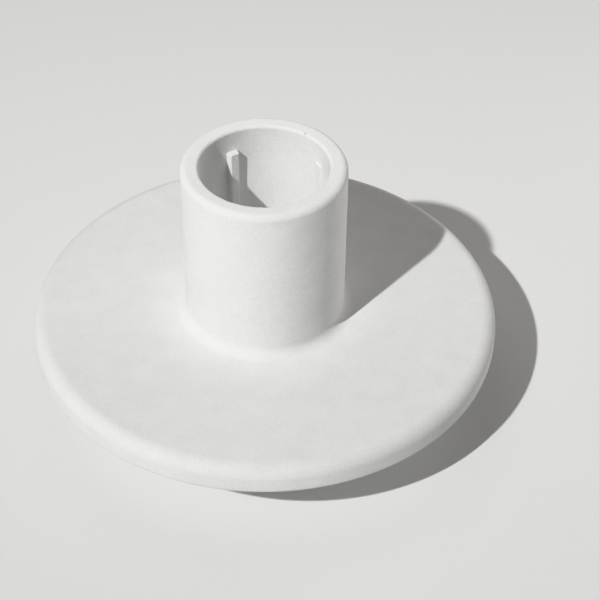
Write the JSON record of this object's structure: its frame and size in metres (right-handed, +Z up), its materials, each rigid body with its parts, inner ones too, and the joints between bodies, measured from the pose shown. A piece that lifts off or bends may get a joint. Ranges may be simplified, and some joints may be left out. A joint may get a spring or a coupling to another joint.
{
  "type": "candlestick",
  "caption": "Low round candlestick: a thick drip dish with a rounded rim on an inset foot, and a plain upright cup with inner grip ribs for a taper candle.",
  "frame": {"origin": "middle of the felt pad's underside, on the table", "axes": "+Z up along the cup's axis; seen from above, the first of the four even grip ribs stands 32 degrees counter-clockwise from +X"},
  "size_m": [0.095, 0.095, 0.0549],
  "materials": {
    "white_coating": "matt white powder coat with a fine sandy grain, on cast aluminium",
    "foot_coating": "matt white powder coat on turned steel",
    "zinc_plated_steel": "bright zinc plating",
    "grey_felt": "pressed wool felt"
  },
  "bodies": {
    "root": {"candle_cup": "white_coating", "drip_dish": "white_coating", "weighted_foot": "foot_coating", "clamp_screw": "zinc_plated_steel", "clamp_washer": "zinc_plated_steel", "felt_pad": "grey_felt"}
  },
  "joints": []
}
